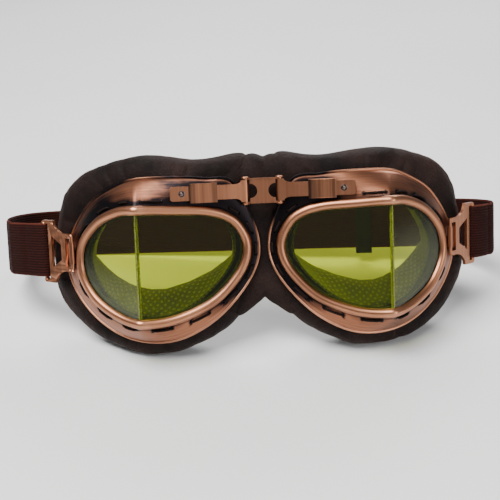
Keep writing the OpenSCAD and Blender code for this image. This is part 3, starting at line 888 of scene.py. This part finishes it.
plate("centre_link_plate", "centre_link", "bridge", 0.16, [satin, edge], shade=0.35)
for word, side in SIDES:
    finished(hinge_pin(word + "_pin", side), "bridge", "copper_bright", word + "_hinge_pin")
    plate(word + "_bar", word + "_bridge_bar", word + "_bar", 0.2, [satin, edge], shade=0.25)
    finished(bar_rivet(word + "_rivet", side), word + "_bar", "rivet", word + "_bar_rivet")
    plate(word + "_bar_sleeve", word + "_sleeve", word + "_cup", 0.4, [bright, edge], shade=0.9, axis=0)
    plate(word + "_buckle_plate", word + "_buckle", word + "_buckle_body", 0.32, [satin, edge], segments=4,
          shade=0.12)
    plate(word + "_buckle_barrel", word + "_barrel", word + "_cup", 0.12, [aged, satin])


# ---- pads
# Section of a pad's ring: out from the lip, and back behind it
PAD_SECTION = [(-8, 3.6), (-2, 2.4), (3, 2.6), (PAD_OUT - 1.8, 5), (PAD_OUT, 10), (PAD_OUT, 16),
    (PAD_OUT - 3.0, 21.6), (-0.3, PAD_DEPTH - 0.9), (-5.8, PAD_DEPTH - 0.9), (-PAD_IN + 0.7, 20),
    (-PAD_IN + 0.7, 9)]
# Metres between the remeshed pad's points
VOXEL = 0.003
PRESSURE = 4.0
CLOTH_FRAMES = 20
# The most that the cloth simulation moves a point, in metres
CAP = 2.6 / 1000


def inflate(obj, pinned):
    """Remeshes a closed shape, fills it out by cloth simulation and returns where its points end up."""
    modify(obj, "REMESH", mode="VOXEL", voxel_size=VOXEL)
    modify(obj, "SMOOTH", factor=0.5, iterations=4)
    start = coordinates(obj.data)
    group = obj.vertex_groups.new(name="pinned")
    held = pinned(start)
    for i in np.nonzero(held > 0)[0]:
        group.add([int(i)], float(held[i]), "REPLACE")
    cloth = obj.modifiers.new("puff", "CLOTH")
    assign(cloth.settings, quality=5, use_pressure=True, uniform_pressure_force=PRESSURE,
           vertex_group_mass="pinned", tension_stiffness=12, compression_stiffness=12, bending_stiffness=0.6)
    cloth.settings.effector_weights.gravity = 0
    cloth.collision_settings.use_collision = False
    scene = bpy.context.scene
    for number in range(1, CLOTH_FRAMES + 1):
        scene.frame_set(number)
    moved = coordinates(evaluated(obj)) - start
    scene.frame_set(1)
    obj.modifiers.clear()
    far = np.linalg.norm(moved, axis=1, keepdims=True)
    return start + moved * np.minimum(1, CAP / np.maximum(far, 1e-9))


def wrinkles(p, seed):
    """Height in millimetres of a pad's folds at worn points: puckers at the seam and soft rolls beyond."""
    dx, dz = (p[:, ::2] - PAD_CENTRE).T
    angle = np.arctan2(dz, dx)
    lip = lip_line - PAD_CENTRE
    lip_angle = np.arctan2(lip[:, 1], lip[:, 0])
    reach = np.interp(angle, lip_angle, np.linalg.norm(lip, axis=1), period=math.tau)
    back = p[:, 1] - np.interp(angle, lip_angle, lip_y, period=math.tau)
    out = np.hypot(dx, dz) - reach
    height = np.zeros(len(p))
    for i in range(len(p)):
        c, s = math.cos(angle[i]), math.sin(angle[i])
        ridge = 1 - min(1, abs(noise((c * 5 + seed, s * 5, back[i] * 0.02))) * 3.2)
        fine = noise((c * 9, s * 9 + seed, back[i] * 0.04))
        roll = noise((p[i][0] * 0.045 + seed, p[i][1] * 0.05, p[i][2] * 0.045))
        near = math.exp(-((out[i] - 3) / 5.5) ** 2) * math.exp(-max(0, back[i] - 4) / 9)
        height[i] = -0.8 * ridge * near + 0.5 * fine * near + 1.3 * roll
    return height


LIP_X = np.linspace(0, 110, 111)


def behind_lip(p):
    """How far worn points lie behind the lip."""
    return p[:, 1] - np.interp(p[:, 0], LIP_X, lip_depth_at(LIP_X))


def pad(name, side):
    grid = np.stack([soft_at(*p)[::2] for p in PAD_SECTION], axis=1)
    mesh = new_mesh(name, grid.reshape(-1, 3), grid_faces(*grid.shape[:2]), side)
    obj = add(name, mesh, [hide])

    def pinned(co):
        front = np.clip(1 - (behind_lip(worn(co, side)) - 3) / 3, 0, 1)
        ground = np.clip(1 - (co[:, 2] - 0.001) / 0.003, 0, 1)
        return np.maximum(front, ground)

    co = inflate(obj, pinned)
    set_coordinates(obj.data, co)
    modify(obj, "SUBSURF", levels=2, render_levels=2)
    co = coordinates(obj.data)
    p = worn(co, side)
    height = wrinkles(p, 3.0 + side)
    clear = np.maximum(np.clip((behind_lip(p) - 2.4) / 2.0, 0, 1), height < 0)
    co += vectors_of(obj.data.vertex_normals, "vector") * (height * clear / 1000)[:, None]
    co[:, 2] = np.maximum(co[:, 2], 0.0)
    set_coordinates(obj.data, co)
    obj.data.materials.clear()
    obj.data.materials.append(hide)
    obj.data.shade_smooth()
    return obj


SEAM_PITCH = 4.6
# Nearer the nose than this, the nose leather covers the seam
SEAM_FROM = 19


def pad_seam(name, pad_obj, side):
    """Running stitches round the back of a pad, laid on the leather."""
    tree = BVHTree.FromPolygons([v.co.copy() for v in pad_obj.data.vertices],
                                [tuple(p.vertices) for p in pad_obj.data.polygons])
    line = soft_at(PAD_OUT - 5.0, 24.5)
    line = np.vstack([line, line[:1]])
    along = lengths(line)
    total = along[-1]
    number = int(total / SEAM_PITCH)
    shapes = []
    for k in range(number):
        if np.interp((k + 0.4) * total / number, along, line[:, 0]) < SEAM_FROM:
            continue
        path = []
        for t in np.linspace(0, 1, 7):
            s = (k + 0.1 + 0.62 * t) * total / number
            q = np.array([np.interp(s, along, line[:, axis]) for axis in range(3)])
            hit, normal, _, _ = tree.find_nearest(Vector(stand(q, side)))
            sink = 0.42 * (abs(2 * t - 1) ** 4) * 1.9 - 0.22
            path.append(worn(np.array(hit - normal * (sink / 1000)), side))
        shapes.append(tube_shape(path, 0.36, sides=8, twist=0.12))
    return thread(name, shapes, side)


def lining(name, side):
    """The cloth that lines the inside of a pad, from the eyecup's seat to the back edge."""
    inner = PAD_IN + 0.4
    section = [(-inner, 3.5), (-inner, 8), (-inner - 0.1, 13), (-inner, 18), (-inner + 1.2, 22.5),
               (-inner + 3.4, 25.6), (-inner + 2.6, 26.1), (-inner + 0.2, 23.4), (-inner - 1.0, 18.4),
               (-inner - 1.1, 13), (-inner - 1.0, 8), (-inner - 1.0, 3.5)]
    columns = [soft_at(*p) for p in section]
    for column in columns:
        for i in range(COUNT):
            a = i * math.tau / COUNT
            column[i][2] += 0.25 * noise((math.cos(a) * 7, math.sin(a) * 7, column[i][1] * 0.1))
    return ring(name, columns, side, mesh_cloth, 60)


def piping(name, side):
    """Leather cord that covers the edge between lining and leather."""
    line = soft_at(-PAD_IN + 3.6, PAD_DEPTH - 0.1)[::2]
    tangent = unit(np.roll(line, -1, axis=0) - np.roll(line, 1, axis=0))
    sides = 12
    back = np.array([0, 1.0, 0])
    across = unit(np.cross(tangent, back))
    columns = []
    for k in range(sides):
        a = math.tau * k / sides
        r = np.array([1.15 * (1 + 0.06 * noise((i * 0.21, side * 3.0, k * 0.2))) for i in range(len(line))])
        columns.append(line + r[:, None] * (math.cos(a) * across + math.sin(a) * back))
    return ring(name, columns, side, hide, 70)


for word, side in SIDES:
    soft = pad(word + "_pad_leather", side)
    stitches = pad_seam(word + "_pad_stitches", soft, side)
    finished(soft, word + "_cup", "leather", word + "_pad")
    finished(stitches, word + "_cup", "thread")
    finished(lining(word + "_pad_lining", side), word + "_cup", "lining", word + "_lining")
    finished(piping(word + "_pad_piping", side), word + "_cup", "leather")


# ---- leather over the nose
# Section of the nose leather, seen from the side: back, then height
NOSE_SECTION = [(13.4, -14), (12.6, 0), (12.4, 14), (12.4, 26), (12.4, 38), (12.8, 44), (15, 48.2),
    (19.5, 50.1), (26, 49), (31.5, 44.5), (33.4, 34), (32.5, 20), (30.5, 4), (27, -10),
    (22, -17.5), (16.5, -19.4)]
NOSE_ROWS = 28
CREASE_X = 1.6


def nose_leather(name, side):
    """One half of the leather between the eyecups, with a soft crease near the middle."""
    outline = smoothed(NOSE_SECTION, 8, closed=True)
    centre = outline.mean(axis=0)
    n = len(outline)
    points, flow = [], []
    for r in range(NOSE_ROWS + 1):
        share = r / NOSE_ROWS
        for i in range(n):
            y, z = outline[i]
            high = max(0, min(1, (z - 24) / 16))
            low = max(0, min(1, (2 - z) / 14))
            x = share * (8.5 + 8.5 * high + 5 * low)
            across = x * side
            crease = math.exp(-((across - CREASE_X) / 1.7) ** 2)
            roll = math.exp(-((across + 3.2) / 2.6) ** 2)
            tuck = (0.4 * roll - 0.8 * crease) * high - 0.5 * math.exp(-(x / 1.5) ** 2) * low
            tuck += 0.7 * noise((across * 0.16, z * 0.09, y * 0.1)) - 1.8 * share ** 6
            d = unit(outline[i] - centre)
            drop = 0.75 * x * low if y < 29 else 0
            points.append((x, y + d[0] * tuck, z + d[1] * tuck - drop))
            flow.append((x, y, z))
    faces = grid_faces(NOSE_ROWS + 1, n, closed=False)
    return add(name, new_mesh(name, points, faces, side, flow=flow), [hide], smooth=60)


for word, side in SIDES:
    half = nose_leather(word + "_nose_leather", side)
    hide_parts("nose_pad")
    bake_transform(half)


# ---- strap
WEB_STEP = 1.4
# The doubled ends are a little narrower, to pass through the buckles
LOOP_W = STRAP_W - 0.6


def left_of(line):
    """Unit vectors to the left of a route seen from above."""
    tangent = unit(np.gradient(np.asarray(line, float), axis=0))
    return np.stack([-tangent[:, 1], tangent[:, 0]], axis=1)


def resample(line, spacing):
    """A route with points at even distances, and those distances."""
    along = lengths(line)
    s = np.linspace(0, along[-1], max(2, int(round(along[-1] / spacing))) + 1)
    return np.stack([np.interp(s, along, line[:, axis]) for axis in range(line.shape[1])], axis=1), s


def web_shape(route, width=STRAP_W, start=0.0):
    """Ribbed webbing along a route seen from above: points, faces and flow (along, across)."""
    line, s = resample(route, WEB_STEP)
    side_way = left_of(line)
    ribs = int(round(width / RIB_PITCH))
    across = np.linspace(-width / 2, width / 2, ribs * 4 + 1)
    edge_soft = 1 - (np.abs(across) / (width / 2)) ** 24 * 0.75
    rib = 0.10 * np.cos(math.tau * (across + width / 2) / RIB_PITCH)
    half = (STRAP_T / 2 - 0.1) * edge_soft + rib
    profile = list(zip(across, half)) + list(zip(across[::-1], -half[::-1]))
    points, flow = [], []
    for i in range(len(line)):
        for w, h in profile:
            q = line[i] + side_way[i] * h
            points.append((q[0], q[1], STRAP_Z + w))
            flow.append((start + s[i], w + width / 2, h))
    return points, grid_faces(len(line), len(profile), closed=False), flow


def web(name, shapes, width=STRAP_W):
    """Webbing whose two edges are worn paler."""
    points, faces, flow = joined(shapes)
    across = np.array(flow)[:, 1]
    wear = 0.75 * np.clip(1 - np.minimum(across, width - across) / 0.9, 0, 1)
    return add(name, new_mesh(name, points, faces, flow=flow, wear=wear), [webbing], smooth=50)


def offset_line(line, by):
    return line + by * left_of(line)


LAYER = STRAP_T / 2 + 0.12
# How far from the buckle the two layers meet
FLARE = 9.0
# How deep the sewn line there pulls them in
PINCH = 0.5


def loop_route(route, side):
    """The doubled end of the strap: out along one layer, round the buckle's bar and back along the other."""
    line = smoothed(route)
    if side > 0:
        line = line[::-1]
    bar = np.array([side * (BARREL[0] + STRAP_BAR_AT * math.cos(BUCKLE_YAW)),
                    BARREL[1] + STRAP_BAR_AT * math.sin(BUCKLE_YAW)])
    way = unit(line[1] - line[0])
    across = np.array([-way[1], way[0]])
    radius = STRAP_BAR_R + STRAP_T / 2 + 0.05
    turn = [bar - way * radius * math.cos(a) + across * radius * math.sin(a)
            for a in map(math.radians, np.linspace(-90, 90, 13))]
    gone = lengths(line)
    t = np.clip(gone / FLARE, 0, 1)
    pinch = PINCH * np.exp(-((gone - FLARE) / 1.1) ** 2)
    spread = (LAYER + (radius - LAYER) * (1 - t * t * (3 - 2 * t)) - pinch)[:, None]
    return np.vstack([offset_line(line, -spread)[::-1], turn, offset_line(line, spread)])


for (word, side), route in zip(SIDES, (LEFT_LOOP, RIGHT_LOOP)):
    obj = web(word + "_strap_end", [web_shape(loop_route(route, side), LOOP_W)], LOOP_W)
    finished(obj, word + "_buckle_body", "elastic", word + "_strap_loop")


def lengthened(points, by=0.17):
    """A smooth route through the points, a little longer at both ends, so that it meets the next one."""
    line = smoothed(points)
    return np.vstack([line[0] + by * unit(line[0] - line[1]), line,
                      line[-1] + by * unit(line[-1] - line[-2])])


def cut(line, low, high):
    """The stretch of a route between two shares of its length."""
    fine, s = resample(line, 0.5)
    total = s[-1]
    keep = (s >= low * total - 1e-6) & (s <= high * total + 1e-6)
    return fine[keep], low * total


# The stretches of the strap's side, as shares of its length from the buckle on
SIDE_SHARES = [(0.0, 0.3), (0.3, 0.36), (0.36, 1.0)]
# Where the second layer of the strap's back begins, and where its weave does
DOUBLED_FROM = 58
DOUBLED_START = 9.0


def strap_side(word, side, line):
    """The strap's side in three stretches, cut at shares of its length."""
    bodies = [word + "_buckle_body", word + "_cup", word + "_bar", "bridge"]
    pairs, shares = list(zip(bodies, bodies[1:])), SIDE_SHARES
    if side > 0:
        pairs = [(b, a) for a, b in pairs[::-1]]
        shares = [(1 - b, 1 - a) for a, b in shares[::-1]]
    for number, ((a, b), (low, high)) in enumerate(zip(pairs, shares)):
        part, start = cut(line, low, high)
        obj = web(f"{word}_strap_run_{number + 1}", [web_shape(part, start=start)])
        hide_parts(word + "_strap_side")
        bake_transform(obj)


strap_side("left", -1, lengthened(LEFT_SIDE))
strap_side("right", 1, lengthened(RIGHT_SIDE))
back_line = lengthened(BACK_RUN)
second_line = offset_line(back_line[back_line[:, 0] > DOUBLED_FROM], -STRAP_T - 0.05)
rear = web("strap_rear", [web_shape(back_line), web_shape(second_line, start=DOUBLED_START)])
finished(rear, "bridge", "elastic", "strap_back")
plate("slider_frame", "strap_slider", "slider_body", 0.4, [dark_paint, dark_paint],
      "slider_metal")

# ---- floor, lights and camera
floor_mesh = bpy.data.meshes.new("floor")
floor_mesh.from_pydata([(-4, -4, 0), (4, -4, 0), (4, 8, 0), (-4, 8, 0)], [], [(0, 1, 2, 3)])
floor = add("floor", floor_mesh, [pale_board])

scene = bpy.context.scene
world = bpy.data.worlds.new("studio")
scene.world = world
world.use_nodes = True
sky = world.node_tree.nodes["Background"].inputs
sky[0].default_value = (0.93, 0.95, 1.0, 1)
sky[1].default_value = 0.28


def softbox(name, place, aim, size, power):
    data = assign(bpy.data.lights.new(name, "AREA"), shape="RECTANGLE", size=size[0], size_y=size[1],
                  energy=power)
    lamp = bpy.data.objects.new(name, data)
    scene.collection.objects.link(lamp)
    turned = (Vector(aim) - Vector(place)).to_track_quat("-Z", "Y")
    assign(lamp, location=place, rotation_mode="QUATERNION", rotation_quaternion=turned)


softbox("key_light", (-0.35, -0.25, 0.95), (0, 0, 0.04), (0.7, 0.5), 21)
softbox("back_light", (0.25, 0.9, 0.7), (0, 0, 0.05), (1.0, 0.4), 11)
softbox("front_fill", (0.7, -0.9, 0.5), (0, 0, 0.05), (0.6, 0.6), 6)

EYE = np.array([-25.45, -365.8, 205.3])
PITCH = math.radians(28.43)
HEADING = math.radians(2.83)
ROLL = math.radians(-1.139)
camera_data = assign(bpy.data.cameras.new("camera"), lens=64.8, sensor_width=36, clip_start=0.01)
camera = bpy.data.objects.new("camera", camera_data)
scene.collection.objects.link(camera)
ahead = Vector((math.sin(HEADING) * math.cos(PITCH), math.cos(HEADING) * math.cos(PITCH), -math.sin(PITCH)))
right = ahead.cross(Vector((0, 0, 1))).normalized()
up = right.cross(ahead)
tilted = right * math.cos(ROLL) + up * math.sin(ROLL)
above = tilted.cross(ahead)
turn = Matrix((tilted, above, -ahead)).transposed()
camera.matrix_world = Matrix.Translation(Vector((EYE + OFFSET) / 1000)) @ turn.to_4x4()
scene.camera = camera
